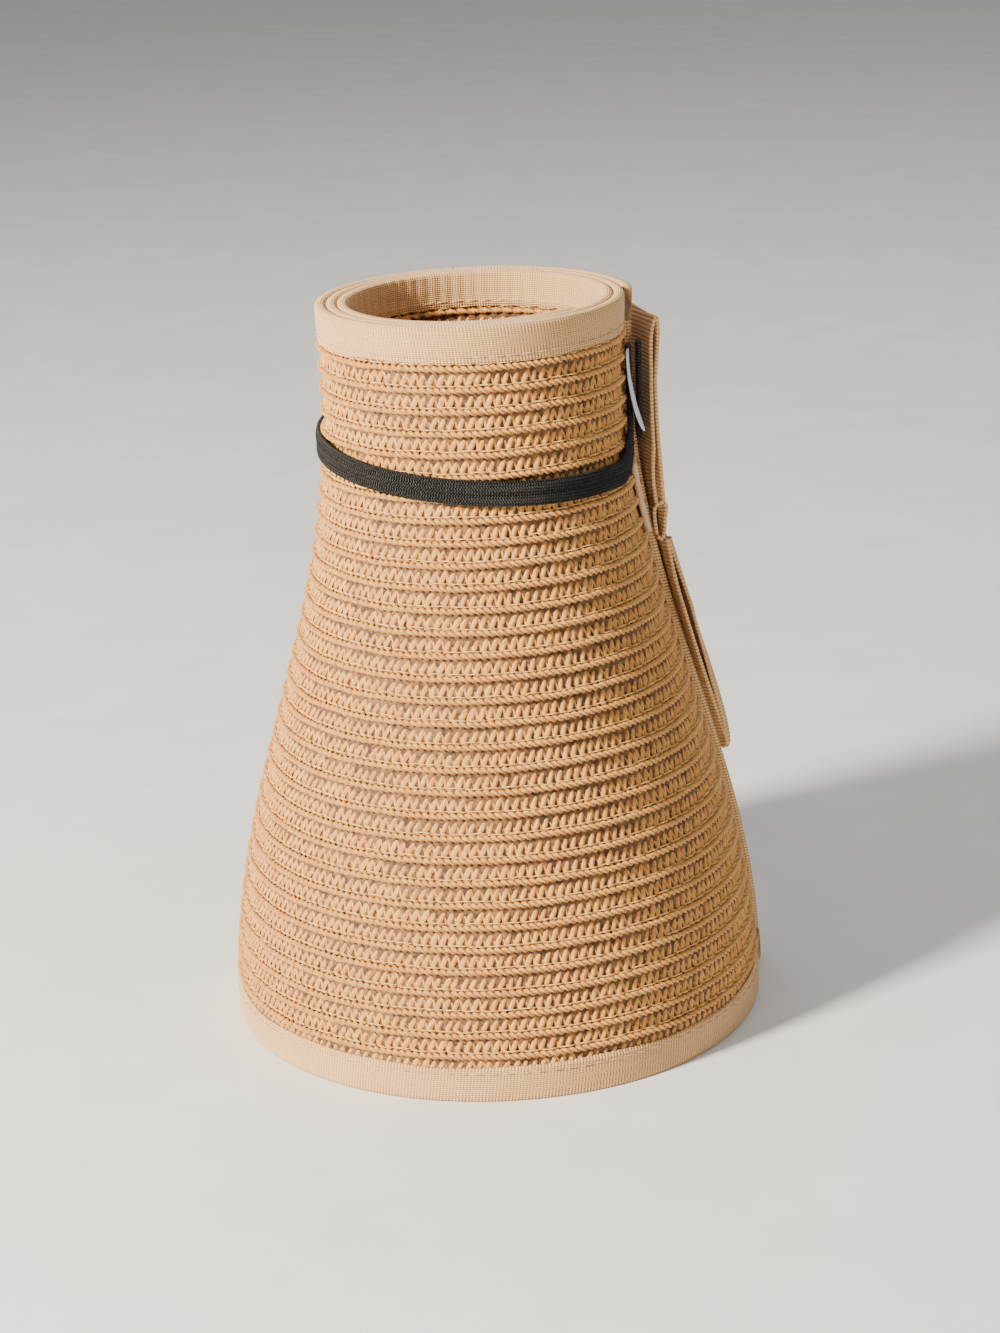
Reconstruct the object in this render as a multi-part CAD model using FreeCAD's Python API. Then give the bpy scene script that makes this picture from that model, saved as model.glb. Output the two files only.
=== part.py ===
import FreeCAD, Part

import math
import os

# A packable sun visor of sewn straw braid, rolled up and standing on its brim edge.
# Millimetres. +Z runs up along the roll's axis, from the brim edge to the narrow head edge.
# The free end of the sheet, the closure tab and the bow are on the +X side.
# The rolled sheet is a spiral of half turns: each half turn is a surface of revolution
# whose centre steps sideways by half a layer, so the half turns join without a step.

# --- driving dimensions: the roll ---------------------------------------------------
ROLL_HEIGHT = 150.5
BRIM_RADIUS = 55.3
NECK_RADIUS = 30.3
NECK_HEIGHT = 132.0
HEAD_FLARE = 0.35
LAYER_PITCH = 2.2
OUTER_LEAD = 1.5
SHEET_THICKNESS = 1.2
END_AZIMUTH = 8.0
FLAP_TURN = 90.0
INNER_END_TURN = 1033.0

# --- driving dimensions: braid and ribbon -------------------------------------------
ROW_COUNT = 35
ROW_RELIEF = 0.3
TAPE = 0.35
TAPE_WIDTH = 7.2
END_TAPE_TURN = 8.0
JOINT_GAP_TURN = 0.6
CLEARANCE = 0.35

# --- driving dimensions: elastic ----------------------------------------------------
ELASTIC_WIDTH = 4.9
ELASTIC_THICKNESS = 1.2
ELASTIC_HEIGHT = 120.2
ELASTIC_TILT_LEFT = 5.0
ELASTIC_TILT_BACK = 4.2
TAIL_AZIMUTHS = (-1.0, 6.0)
TAIL_HEIGHTS = (117.0, 142.5)

# --- driving dimensions: closure tab and care label ---------------------------------
TAB_AZIMUTHS = (-8.0, 7.9)
TAB_HEIGHTS = (100.2, 116.0)
TAB_THICKNESS = 1.0
LABEL_AZIMUTH = -6.5
LABEL_WIDTH = 4.6
LABEL_TOP = 139.5
LABEL_LENGTH = 17.5
LABEL_THICKNESS = 0.5

# --- driving dimensions: bow --------------------------------------------------------
BOW_AZIMUTH = 16.0
RIBBON_WIDTH = 15.0
RIBBON_THICKNESS = 0.7
KNOT_HEIGHT = 100.5
KNOT_SIZE = 6.0
KNOT_DEPTH = 2.8
LOOP_ROOT_GAP = 1.4
UPPER_LENGTH = 39.0
LOWER_LENGTH = 47.5
UPPER_INNER = 34.9
UPPER_OUTER = 37.4
LOWER_STANDOFF = 0.8
LOWER_BULGE = 5.0

Z_AXIS = FreeCAD.Vector(0, 0, 1)
SHEET_BOTTOM = TAPE
SHEET_TOP = ROLL_HEIGHT - TAPE
ROW_PITCH = (SHEET_TOP - SHEET_BOTTOM) / ROW_COUNT


def base_radius(height):
    """The bell-shaped outline: a half cosine from brim to neck, then a slight flare."""
    if height >= NECK_HEIGHT:
        rise = (height - NECK_HEIGHT) / (ROLL_HEIGHT - NECK_HEIGHT)
        return NECK_RADIUS + HEAD_FLARE * rise**2
    wave = (1 + math.cos(math.pi * height / NECK_HEIGHT)) / 2
    return NECK_RADIUS + (BRIM_RADIUS - NECK_RADIUS) * wave


def row_edge(index):
    return SHEET_BOTTOM + index * ROW_PITCH


def surface_radius(height):
    """The outline as straight slants between row edges, so that stacked rows and tapes share it."""
    index = math.floor((height - SHEET_BOTTOM) / ROW_PITCH)
    index = min(max(index, 0), ROW_COUNT - 1)
    low = base_radius(row_edge(index))
    high = base_radius(row_edge(index + 1))
    share = (height - row_edge(index)) / ROW_PITCH
    return low + share * (high - low)


def heights(start, end):
    """Heights from start to end with every row edge between them."""
    low, high = sorted((start, end))
    inner = [row_edge(i) for i in range(ROW_COUNT + 1) if low + 1e-6 < row_edge(i) < high - 1e-6]
    steps = [low] + inner + [high]
    return steps if start < end else steps[::-1]


def side(start, end, offset):
    """Profile points up or down one face of the sheet, offset outwards from its outer face."""
    return [(surface_radius(z) + offset, z) for z in heights(start, end)]


def half_turn_shift(index):
    """How far half turn number index lies inside the free end's outline, and its centre's step."""
    inward = OUTER_LEAD - (2 * index + 1) * LAYER_PITCH / 4
    centre = (-1) ** index * LAYER_PITCH / 4
    return inward, centre


def sector(profile, index, start_turn, end_turn):
    """One stretch of half turn number index: the profile turned about that half turn's centre."""
    inward, centre = half_turn_shift(index)
    corners = [FreeCAD.Vector(radius + inward, 0, z) for radius, z in profile]
    face = Part.Face(Part.makePolygon(corners + corners[:1]))
    face.rotate(FreeCAD.Vector(), Z_AXIS, END_AZIMUTH + start_turn)
    solid = face.revolve(FreeCAD.Vector(), Z_AXIS, end_turn - start_turn)
    lead = math.radians(END_AZIMUTH)
    solid.translate(FreeCAD.Vector(centre * math.cos(lead), centre * math.sin(lead), 0))
    return solid


def spiral(profile, start_turn, end_turn):
    """The profile carried along the spiral between two turning angles, as one solid."""
    pieces = []
    index = int(start_turn // 180)
    while index * 180 < end_turn:
        low = max(start_turn, index * 180)
        high = min(end_turn, (index + 1) * 180)
        pieces.append(sector(profile, index, low, high))
        index += 1
    if len(pieces) == 1:
        return pieces[0]
    return pieces[0].fuse(pieces[1:])


def row_profile(index):
    """One braid row: its lower edge stands proud over the row below, as lapped braid does."""
    low, high = row_edge(index), row_edge(index + 1)
    outer_low, outer_high = surface_radius(low), surface_radius(high)
    return [
        (outer_low - SHEET_THICKNESS, low),
        (outer_low, low),
        (outer_high - ROW_RELIEF, high),
        (outer_high - SHEET_THICKNESS, high),
    ]


def sheet_profile():
    outer = side(SHEET_BOTTOM, SHEET_TOP, 0)
    inner = side(SHEET_TOP, SHEET_BOTTOM, -SHEET_THICKNESS)
    return outer + inner


def binding_profile(open_height, sheet_edge, fold_height):
    """Ribbon folded over an edge of the sheet: a channel open towards open_height."""
    outside = side(open_height, fold_height, TAPE)
    inside = side(fold_height, open_height, -SHEET_THICKNESS - TAPE)
    under = side(open_height, sheet_edge, -SHEET_THICKNESS)
    over = side(sheet_edge, open_height, 0)
    return outside + inside + under + over


def end_binding(turn_low, turn_high, edge_turn):
    """Ribbon folded over an upright end of the sheet, between the two edge bindings."""
    low, high = TAPE_WIDTH, ROLL_HEIGHT - TAPE_WIDTH
    outer = side(low, high, TAPE) + side(high, low, 0)
    inner = side(low, high, -SHEET_THICKNESS) + side(high, low, -SHEET_THICKNESS - TAPE)
    whole = side(low, high, TAPE) + side(high, low, -SHEET_THICKNESS - TAPE)
    cap = spiral(whole, *sorted((edge_turn, edge_turn + (0.4 if edge_turn > turn_low else -0.4))))
    return cap.fuse([spiral(outer, turn_low, turn_high), spiral(inner, turn_low, turn_high)])


def braid_row(index, start_turn, end_turn):
    return spiral(row_profile(index), start_turn, end_turn)


def tilted_slab(centre_height, thickness, tilt_left, tilt_back):
    """A flat slab across the roll that rises towards -X and +Y."""
    reach = 4 * BRIM_RADIUS
    corner = FreeCAD.Vector(-reach / 2, -reach / 2, -thickness / 2)
    slab = Part.makeBox(reach, reach, thickness, corner)
    slab.rotate(FreeCAD.Vector(), FreeCAD.Vector(0, 1, 0), tilt_left)
    slab.rotate(FreeCAD.Vector(), FreeCAD.Vector(1, 0, 0), tilt_back)
    slab.translate(FreeCAD.Vector(0, 0, centre_height))
    return slab


def elastic_band():
    """The elastic loop, stretched round the narrow part of the roll over the free end."""
    low, high = ELASTIC_HEIGHT - 12, ELASTIC_HEIGHT + 12
    near = TAPE + CLEARANCE
    far = near + ELASTIC_THICKNESS
    inward, centre = half_turn_shift(0)
    profile = side(low, high, near) + side(high, low, far)
    corners = [FreeCAD.Vector(radius + inward, 0, z) for radius, z in profile]
    face = Part.Face(Part.makePolygon(corners + corners[:1]))
    tube = face.revolve(FreeCAD.Vector(), Z_AXIS, 360)
    lead = math.radians(END_AZIMUTH)
    tube.translate(FreeCAD.Vector(centre * math.cos(lead), centre * math.sin(lead), 0))
    slab = tilted_slab(ELASTIC_HEIGHT, ELASTIC_WIDTH, ELASTIC_TILT_LEFT, ELASTIC_TILT_BACK)
    return tube.common(slab)


def patch(azimuths, height_range, gap, thickness):
    """A flat-lying piece on the layer that runs in front of the free end."""
    low, high = height_range
    profile = side(low, high, gap) + side(high, low, gap + thickness)
    turns = [360 + azimuth - END_AZIMUTH for azimuth in azimuths]
    return spiral(profile, *turns)


def turned_to(shape, azimuth):
    shape.rotate(FreeCAD.Vector(), Z_AXIS, azimuth)
    return shape


def care_label():
    """A narrow woven label, sewn at its top to the head binding and hanging down."""
    inward, _ = half_turn_shift(1)
    near = surface_radius(LABEL_TOP) + inward + TAPE + CLEARANCE - LAYER_PITCH / 4
    corner = FreeCAD.Vector(near, -LABEL_WIDTH / 2, LABEL_TOP - LABEL_LENGTH)
    label = Part.makeBox(LABEL_THICKNESS, LABEL_WIDTH, LABEL_LENGTH, corner)
    return turned_to(label, LABEL_AZIMUTH)


def closed_curve(points):
    curve = Part.BSplineCurve()
    curve.interpolate(points, PeriodicFlag=True)
    return curve


def ribbon_loop(outline):
    """A closed loop of ribbon seen edge-on, from the points of its outer outline.

    The points are (distance from the roll's axis, height), anticlockwise, and the inner
    outline lies one ribbon thickness to their left.
    """
    points = [FreeCAD.Vector(radius, 0, z) for radius, z in outline]
    outer = closed_curve(points)
    inner_points = []
    for point in points:
        along = outer.tangent(outer.parameter(point))[0]
        inward = FreeCAD.Vector(-along.z, 0, along.x) * RIBBON_THICKNESS
        inner_points.append(point + inward)
    inner = closed_curve(inner_points)
    run = FreeCAD.Vector(0, RIBBON_WIDTH, 0)
    blocks = [Part.Face(Part.Wire(curve.toShape())).extrude(run) for curve in (outer, inner)]
    loop = blocks[0].cut(blocks[1])
    loop.translate(FreeCAD.Vector(0, -RIBBON_WIDTH / 2, 0))
    return turned_to(loop, BOW_AZIMUTH)


def flap_face(height):
    """Outermost reach of the free end and its binding at this height."""
    return surface_radius(height) + OUTER_LEAD + TAPE


def bow_upper_loop():
    root = KNOT_HEIGHT + KNOT_SIZE / 2 + LOOP_ROOT_GAP
    top = root + UPPER_LENGTH
    middle = (UPPER_INNER + UPPER_OUTER) / 2
    outline = [
        (middle + 0.5, root),
        (UPPER_OUTER + 0.3, root + 6),
        (UPPER_OUTER, root + 16),
        (UPPER_OUTER, top - 10),
        (UPPER_OUTER - 0.3, top - 3),
        (middle, top),
        (UPPER_INNER + 0.3, top - 3),
        (UPPER_INNER, root + 22),
        (UPPER_INNER + 0.3, root + 7),
    ]
    return ribbon_loop(outline)


def bow_lower_loop():
    root = KNOT_HEIGHT - KNOT_SIZE / 2 - LOOP_ROOT_GAP
    tip = root - LOWER_LENGTH
    near = [flap_face(root - drop) + LOWER_STANDOFF for drop in (12, 25, 38)]
    outline = [
        (flap_face(root) + 2.0, root),
        (near[0], root - 12),
        (near[1], root - 25),
        (near[2], root - 38),
        (flap_face(tip) + 2.4, tip),
        (flap_face(tip) + 4.4, tip + 5),
        (near[1] + LOWER_BULGE, root - 23),
        (near[0] + LOWER_BULGE - 1.0, root - 10),
    ]
    return ribbon_loop(outline)


def bow_knot():
    """The short wrap of ribbon that gathers the two loops and is tacked to the free end."""
    near = flap_face(KNOT_HEIGHT - KNOT_SIZE / 2) + CLEARANCE
    corner = FreeCAD.Vector(near, -RIBBON_WIDTH / 2, KNOT_HEIGHT - KNOT_SIZE / 2)
    block = Part.makeBox(KNOT_DEPTH, RIBBON_WIDTH, KNOT_SIZE, corner)
    block = block.makeFillet(0.9, block.Edges)
    return turned_to(block, BOW_AZIMUTH)


def build_nodes():
    flap_end = FLAP_TURN - JOINT_GAP_TURN
    rows = range(ROW_COUNT)
    top = binding_profile(ROLL_HEIGHT - TAPE_WIDTH, SHEET_TOP, ROLL_HEIGHT)
    bottom = binding_profile(TAPE_WIDTH, SHEET_BOTTOM, 0)
    nodes = {f"braid_row_{i + 1:02d}": braid_row(i, FLAP_TURN, 360) for i in rows}
    nodes["inner_wraps"] = spiral(sheet_profile(), 360, INNER_END_TURN)
    nodes["head_edge_binding"] = spiral(top, FLAP_TURN, INNER_END_TURN)
    nodes["brim_edge_binding"] = spiral(bottom, FLAP_TURN, INNER_END_TURN)
    inner_end = (INNER_END_TURN - END_TAPE_TURN, INNER_END_TURN)
    nodes["inner_end_binding"] = end_binding(*inner_end, INNER_END_TURN)
    flap_rows = [braid_row(i, 0.4, flap_end) for i in rows]
    nodes["flap_braid_rows"] = flap_rows[0].fuse(flap_rows[1:])
    nodes["flap_head_binding"] = spiral(top, 0.4, flap_end)
    nodes["flap_brim_binding"] = spiral(bottom, 0.4, flap_end)
    nodes["flap_end_binding"] = end_binding(0.4, END_TAPE_TURN, 0.4)
    nodes["elastic_band"] = elastic_band()
    nodes["elastic_sewn_ends"] = patch(TAIL_AZIMUTHS, TAIL_HEIGHTS, 0.05, ELASTIC_THICKNESS)
    nodes["closure_tab"] = patch(TAB_AZIMUTHS, TAB_HEIGHTS, CLEARANCE, TAB_THICKNESS)
    nodes["care_label"] = care_label()
    nodes["bow_upper_loop"] = bow_upper_loop()
    nodes["bow_lower_loop"] = bow_lower_loop()
    nodes["bow_knot"] = bow_knot()
    return nodes


def standing_centre(nodes):
    """Middle of the whole object's footprint, which the origin is moved to."""
    whole = FreeCAD.BoundBox()
    for shape in nodes.values():
        whole.add(shape.optimalBoundingBox(False))
    return FreeCAD.Vector(whole.Center.x, whole.Center.y, 0)


os.makedirs("parts", exist_ok=True)
visor = build_nodes()
centre = standing_centre(visor)
print(f"roll axis stands at {-centre.x:.4f}, {-centre.y:.4f}")
for name, shape in visor.items():
    shape.translate(centre.negative())
    shape.exportStep(os.path.join("parts", name + ".step"))
    print(f"{name:20s} valid={shape.isValid()} solids={len(shape.Solids)} volume={shape.Volume:.1f}")
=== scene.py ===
"""A packable straw sun visor, rolled up and standing on its brim edge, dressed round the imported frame."""

import logging
import math
from dataclasses import dataclass, field
from enum import Enum

import bmesh
import bpy
import numpy as np
from mathutils import Euler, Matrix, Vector

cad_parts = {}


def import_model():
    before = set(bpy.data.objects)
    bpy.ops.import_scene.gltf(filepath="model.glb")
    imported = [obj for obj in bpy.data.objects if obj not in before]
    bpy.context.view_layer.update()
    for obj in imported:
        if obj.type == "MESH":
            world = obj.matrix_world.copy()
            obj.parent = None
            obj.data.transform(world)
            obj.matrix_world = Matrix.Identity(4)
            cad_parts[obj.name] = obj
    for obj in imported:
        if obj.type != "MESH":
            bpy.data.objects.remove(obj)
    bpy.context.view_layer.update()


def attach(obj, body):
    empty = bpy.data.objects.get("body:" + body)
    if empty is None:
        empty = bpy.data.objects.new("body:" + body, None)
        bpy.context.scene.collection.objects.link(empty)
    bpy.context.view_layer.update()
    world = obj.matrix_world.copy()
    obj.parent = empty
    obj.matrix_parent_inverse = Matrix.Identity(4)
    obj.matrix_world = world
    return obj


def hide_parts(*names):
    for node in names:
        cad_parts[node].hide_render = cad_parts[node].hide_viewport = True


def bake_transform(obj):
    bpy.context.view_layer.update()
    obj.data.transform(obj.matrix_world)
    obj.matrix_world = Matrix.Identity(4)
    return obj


MM = 0.001
LOG = logging.getLogger("visor")
Array = np.ndarray
Socket = bpy.types.NodeSocket
UNIT_COUNT = 6


class Body(str, Enum):
    """The bodies that pieces ride on."""

    ROLL = "roll"
    FLAP = "flap"
    ELASTIC = "elastic"
    BOW = "bow"
    UPPER_LOOP = "upper_loop"
    LOWER_LOOP = "lower_loop"
    LABEL = "label"


class Slot(str, Enum):
    """The record's material slots."""

    STRAW = "straw_braid"
    TAPE = "ribbon_tape"
    BOW = "bow_ribbon"
    ELASTIC = "elastic"
    TAB = "tab_fabric"
    LABEL = "label_satin"


# ---- the roll's shape


@dataclass(frozen=True)
class Roll:
    """The rolled sheet's shape, in millimetres: a spiral of half turns with a bell outline.

    A turning angle is counted in degrees along the sheet from its free end.
    """

    height: float = 150.5
    brim_radius: float = 55.3
    neck_radius: float = 30.3
    neck_height: float = 132.0
    head_flare: float = 0.35
    layer_pitch: float = 2.2
    outer_lead: float = 1.5
    sheet: float = 1.2
    end_azimuth: float = 8.0
    flap_turn: float = 89.7
    inner_end: float = 1033.0
    outer_end: float = 450.0
    bore_start: float = 673.0
    end_fold: float = 7.2
    row_count: int = 35
    tape: float = 0.35
    tape_width: float = 7.2
    axis_x: float = -0.241
    axis_y: float = -0.55

    @property
    def row_pitch(self) -> float:
        """Height of one braid row."""
        return (self.height - 2 * self.tape) / self.row_count

    @property
    def centre(self) -> Array:
        """The roll's axis in plan."""
        return np.array([self.axis_x, self.axis_y])

    def row_edge(self, index: float) -> float:
        """Height of a row's lower edge."""
        return self.tape + index * self.row_pitch

    def radius(self, z: Array) -> Array:
        """Bell outline: a half cosine from brim to neck, then a slight flare."""
        z = np.asarray(z, float)
        wave = (1 + np.cos(np.pi * np.minimum(z, self.neck_height) / self.neck_height)) / 2
        rise = np.maximum(z - self.neck_height, 0) / (self.height - self.neck_height)
        return self.neck_radius + (self.brim_radius - self.neck_radius) * wave + self.head_flare * rise**2

    def lean(self, z: Array) -> Array:
        """How fast the outline draws in with height."""
        return (self.radius(np.asarray(z) - 0.5) - self.radius(np.asarray(z) + 0.5)) / 1.0

    def place(self, turn: Array, z: Array, out: Array = 0.0) -> Array:
        """Points on the sheet's outer face.

        Args:
            turn: Turning angles in degrees.
            z: Heights.
            out: Distance outwards from the face.

        Returns:
            Points in millimetres, one row each.
        """
        turn, z, out = np.broadcast_arrays(*(np.asarray(v, float) for v in (turn, z, out)))
        half = np.floor(turn / 180)
        inward = self.outer_lead - (2 * half + 1) * self.layer_pitch / 4
        step = np.where(half % 2 == 0, 1, -1) * self.layer_pitch / 4
        lead = math.radians(self.end_azimuth)
        angle = np.radians(self.end_azimuth + turn)
        rho = self.radius(z) + inward + out
        x = self.axis_x + step * math.cos(lead) + rho * np.cos(angle)
        y = self.axis_y + step * math.sin(lead) + rho * np.sin(angle)
        return np.stack([x, y, z], -1)

    def facing(self, turn: Array, z: Array) -> tuple[Array, Array]:
        """Unit vectors out of the sheet and up its slant."""
        turn, z = np.broadcast_arrays(np.asarray(turn, float), np.asarray(z, float))
        angle = np.radians(self.end_azimuth + turn)
        lean = self.lean(z)
        size = np.sqrt(1 + lean**2)
        out = np.stack([np.cos(angle), np.sin(angle), lean], -1) / size[..., None]
        up = np.stack([-lean * np.cos(angle), -lean * np.sin(angle), np.ones_like(lean)], -1) / size[..., None]
        return out, up

    def polar(self, radius: float, azimuth: float, z: float) -> Vector:
        """A point at a distance from the roll's axis, in metres."""
        angle = math.radians(azimuth)
        x = self.axis_x + radius * math.cos(angle)
        y = self.axis_y + radius * math.sin(angle)
        return Vector((x, y, z)) * MM


# ---- node building


class NodeGraph:
    """A small wrapper that builds a node tree in reading order."""

    def __init__(self, tree: bpy.types.NodeTree) -> None:
        """Wraps an empty tree."""
        self.tree = tree

    def add(self, kind: str, inputs: dict | None = None, **settings) -> bpy.types.Node:
        """Adds a node.

        Args:
            kind: The node's type name.
            inputs: Socket name or index to a value or to another node's socket.
            **settings: Properties of the node.

        Returns:
            The new node.
        """
        node = self.tree.nodes.new(kind)
        for name, value in settings.items():
            setattr(node, name, value)
        for name, value in (inputs or {}).items():
            self.feed(node.inputs[name], value)
        return node

    def feed(self, socket: Socket, value) -> None:
        """Links another node's socket into this one, or sets its value."""
        if isinstance(value, Socket):
            self.tree.links.new(value, socket)
        else:
            socket.default_value = value

    def math(self, operation: str, *values) -> Socket:
        """A Math node of the tree's own kind."""
        return self.add("ShaderNodeMath", dict(enumerate(values)), operation=operation).outputs[0]

    def times(self, first, second) -> Socket:
        """The product of two numbers."""
        return self.math("MULTIPLY", first, second)

    def plus(self, first, second) -> Socket:
        """The sum of two numbers."""
        return self.math("ADD", first, second)

    def vector(self, operation: str, *values) -> Socket:
        """A Vector Math node; a number given to a scale goes to its Scale socket."""
        node = self.add("ShaderNodeVectorMath", operation=operation)
        for index, value in enumerate(values):
            self.feed(node.inputs["Scale" if operation == "SCALE" and index == 1 else index], value)
        return node.outputs[0]

    def triple(self, *values) -> Socket:
        """A vector from up to three numbers."""
        return self.add("ShaderNodeCombineXYZ", dict(enumerate(values))).outputs[0]

    def wave(self, angle) -> Socket:
        """A sine wave between 0 and 1."""
        return self.plus(self.times(self.math("SINE", angle), 0.5), 0.5)


class GeometryTree(NodeGraph):
    """A geometry node tree with named inputs, applied to a host mesh and made a plain mesh."""

    def __init__(self, name: str) -> None:
        """Makes the tree with its geometry input and output."""
        super().__init__(bpy.data.node_groups.new(name, "GeometryNodeTree"))
        face = self.tree.interface
        face.new_socket("Geometry", in_out="INPUT", socket_type="NodeSocketGeometry")
        face.new_socket("Geometry", in_out="OUTPUT", socket_type="NodeSocketGeometry")
        self.entry = self.add("NodeGroupInput")
        self.exit = self.add("NodeGroupOutput")

    def size(self, name: str, kind: str = "Float") -> Socket:
        """A named input of the tree."""
        self.tree.interface.new_socket(name, in_out="INPUT", socket_type=f"NodeSocket{kind}")
        return self.entry.outputs[name]

    def named(self, name: str, kind: str = "FLOAT") -> Socket:
        """A stored attribute's socket."""
        return self.add("GeometryNodeInputNamedAttribute", {"Name": name}, data_type=kind).outputs[0]

    def store(
        self, geometry: Socket, name: str, value, kind: str = "FLOAT", domain: str = "POINT"
    ) -> Socket:
        """Stores an attribute and returns the geometry socket."""
        node = self.add("GeometryNodeStoreNamedAttribute", data_type=kind, domain=domain)
        self.tree.links.new(geometry, node.inputs["Geometry"])
        node.inputs["Name"].default_value = name
        self.tree.links.new(value, node.inputs["Value"])
        return node.outputs[0]

    def random(self, low: float, high: float, seed, salt: int, kind: str = "FLOAT") -> Socket:
        """A random value per point, from the tree's seed and this use's own salt."""
        chosen = self.plus(seed, float(salt))
        node = self.add("FunctionNodeRandomValue", data_type=kind)
        sockets = {"FLOAT": (2, 3, 1), "INT": (4, 5, 2)}[kind]
        node.inputs[sockets[0]].default_value = low
        node.inputs[sockets[1]].default_value = high
        self.tree.links.new(chosen, node.inputs["Seed"])
        return node.outputs[sockets[2]]

    def close(self, *parts) -> None:
        """Joins finished parts and ends the tree."""
        join = self.add("GeometryNodeJoinGeometry")
        for part in reversed(parts):
            self.tree.links.new(part, join.inputs[0])
        self.tree.links.new(join.outputs[0], self.exit.inputs[0])

    def stations(self, guide: Socket, length) -> Socket:
        """Points along a guide curve at a given spacing."""
        inputs = {"Curve": guide, "Length": length}
        return self.add("GeometryNodeResampleCurve", inputs, mode="LENGTH").outputs[0]

    def shifted(self, geometry: Socket, offset) -> Socket:
        """Moves geometry by an offset."""
        return self.add("GeometryNodeSetPosition", {"Geometry": geometry, "Offset": offset}).outputs[0]

    def dressed(self, geometry: Socket, material) -> Socket:
        """Realizes instances and sets the material."""
        solid = self.add("GeometryNodeRealizeInstances", {0: geometry}).outputs[0]
        smooth = self.add("GeometryNodeSetShadeSmooth", {"Geometry": solid}).outputs[0]
        return self.add("GeometryNodeSetMaterial", {"Geometry": smooth, "Material": material}).outputs[0]

    def apply(self, host: bpy.types.Object, values: dict) -> bpy.types.Object:
        """Runs the tree on a host and makes the host the plain result.

        Args:
            host: The object that carries the guide mesh.
            values: Input name to value.

        Returns:
            The host with its new mesh and no modifier.
        """
        modifier = host.modifiers.new("build", "NODES")
        modifier.node_group = self.tree
        for item in self.tree.interface.items_tree:
            if item.item_type == "SOCKET" and item.in_out == "INPUT" and item.name in values:
                modifier[item.identifier] = values[item.name]
        host.update_tag()
        graph = bpy.context.evaluated_depsgraph_get()
        graph.update()
        result = host.evaluated_get(graph)
        mesh = bpy.data.meshes.new_from_object(result, preserve_all_data_layers=True, depsgraph=graph)
        old = host.data
        host.modifiers.remove(modifier)
        host.data = mesh
        bpy.data.meshes.remove(old)
        mesh.name = host.name
        return host


# ---- mesh helpers


def new_object(name: str, verts: Array, faces: list, edges: list = ()) -> bpy.types.Object:
    """Makes a mesh object at the origin.

    Args:
        name: The piece's name.
        verts: Points in millimetres.
        faces: Faces as index lists.
        edges: Loose edges as index pairs.

    Returns:
        The linked object.
    """
    mesh = bpy.data.meshes.new(name)
    mesh.from_pydata((np.asarray(verts, float) * MM).tolist(), list(edges), list(faces))
    piece = bpy.data.objects.new(name, mesh)
    bpy.context.scene.collection.objects.link(piece)
    return piece


def grid_faces(rows: int, columns: int, loop_columns: bool = False, start: int = 0) -> list:
    """Quads over a grid of points stored row by row."""
    faces = []
    for i in range(rows - 1):
        for j in range(columns if loop_columns else columns - 1):
            low, high = start + i * columns, start + (i + 1) * columns
            following = (j + 1) % columns
            faces.append([low + j, low + following, high + following, high + j])
    return faces


def put(mesh: bpy.types.Mesh, name: str, values: Array, kind: str = "FLOAT") -> None:
    """Stores a point attribute on a mesh."""
    layer = mesh.attributes.new(name, kind, "POINT")
    field_name = "vector" if kind == "FLOAT_VECTOR" else "value"
    layer.data.foreach_set(field_name, np.asarray(values, np.float32).ravel())


def smooth(piece: bpy.types.Object) -> bpy.types.Object:
    """Shades a piece smooth."""
    piece.data.shade_smooth()
    return piece


def finish_piece(piece, body: Body, slot: Slot, *nodes: str) -> bpy.types.Object:
    """Rides a piece on its body and hides the frame's nodes that it stands for."""
    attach(piece, body.value)
    if nodes:
        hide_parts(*nodes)
    LOG.info("%s: %d faces on %s", piece.name, len(piece.data.polygons), body.value)
    return piece


# ---- finishes


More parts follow.
